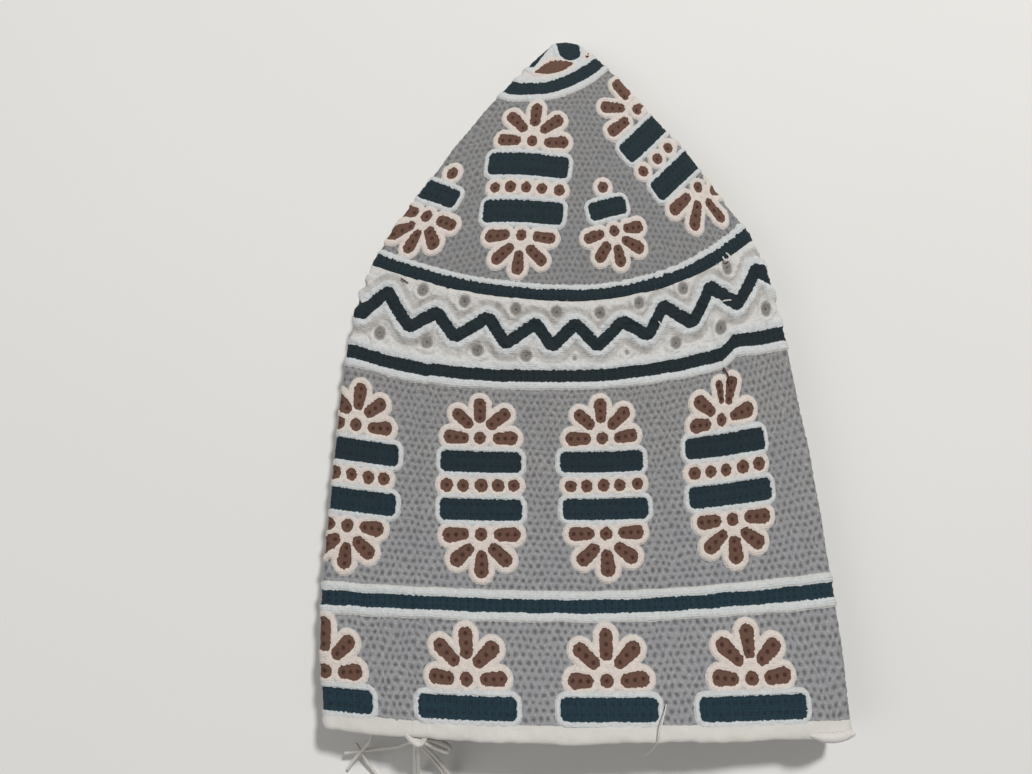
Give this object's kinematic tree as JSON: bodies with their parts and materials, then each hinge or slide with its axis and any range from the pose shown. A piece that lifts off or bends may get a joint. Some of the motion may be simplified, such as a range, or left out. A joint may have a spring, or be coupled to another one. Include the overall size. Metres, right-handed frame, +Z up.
{
  "type": "kumma cap folded flat",
  "caption": "Stiff embroidered round cap with a flat crown and an upright side band, folded in four with side gussets and lying flat, head opening at one end.",
  "frame": {"origin": "middle of the bounding box, on the surface that the folded cap lies on", "axes": "+Y toward the folded tip of the crown, the head opening faces -Y, +Z up from the back of the cap to its front, +X to the right seen from above with the tip away"},
  "size_m": [0.1426, 0.2179, 0.0223],
  "materials": {
    "grey_eyelet_cloth": "matt stitched cotton with eyelets",
    "white_tape": "matt cotton tape"
  },
  "bodies": {
    "root": {"crown": "grey_eyelet_cloth", "side_band": "grey_eyelet_cloth", "hem_binding": "white_tape"}
  },
  "joints": []
}
